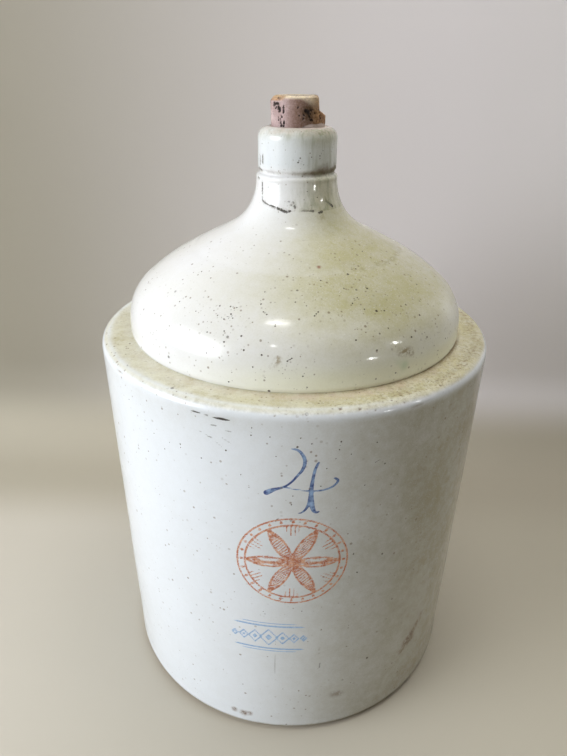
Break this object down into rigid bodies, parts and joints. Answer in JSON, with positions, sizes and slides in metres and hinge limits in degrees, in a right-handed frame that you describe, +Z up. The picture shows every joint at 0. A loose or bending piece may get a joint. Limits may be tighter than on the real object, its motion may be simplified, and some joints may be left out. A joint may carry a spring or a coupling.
{
  "type": "stoneware shoulder jug",
  "caption": "Straight-sided glazed stoneware jug with a ledged ogee dome, a narrow collared neck, a strap handle behind the neck and a tapered cork.",
  "frame": {"origin": "centre of the base, on the surface that the jug stands on", "axes": "+Z up along the jug's axis, -Y towards the front that carries the numeral, +Y towards the handle"},
  "size_m": [0.28, 0.28, 0.436],
  "materials": {
    "crock_glaze": "glossy bluish-white glaze with fine dark specks, worn skips at the rim and a bare tan foot",
    "dome_glaze": "glossy white glaze stained yellow-green to one side, with many dark pinholes and a grimy joint",
    "neck_glaze": "glossy white glaze with a brown-grimed groove and a dark broken joint line",
    "handle_glaze": "glossy white glaze, thin and tan along the strap's edges",
    "cork": "dry natural cork, tan on top, darker at the side, with black pits"
  },
  "bodies": {
    "jug": {"crock_body": "crock_glaze", "shoulder_dome": "dome_glaze", "neck_collar": "neck_glaze", "strap_handle": "handle_glaze"},
    "cork": {"cork_stopper": "cork"}
  },
  "joints": [
    {"name": "cork_lift", "type": "slide", "parent": "jug", "child": "cork", "axis": [0, 0, 1], "range_m": [0, 0.1]}
  ]
}
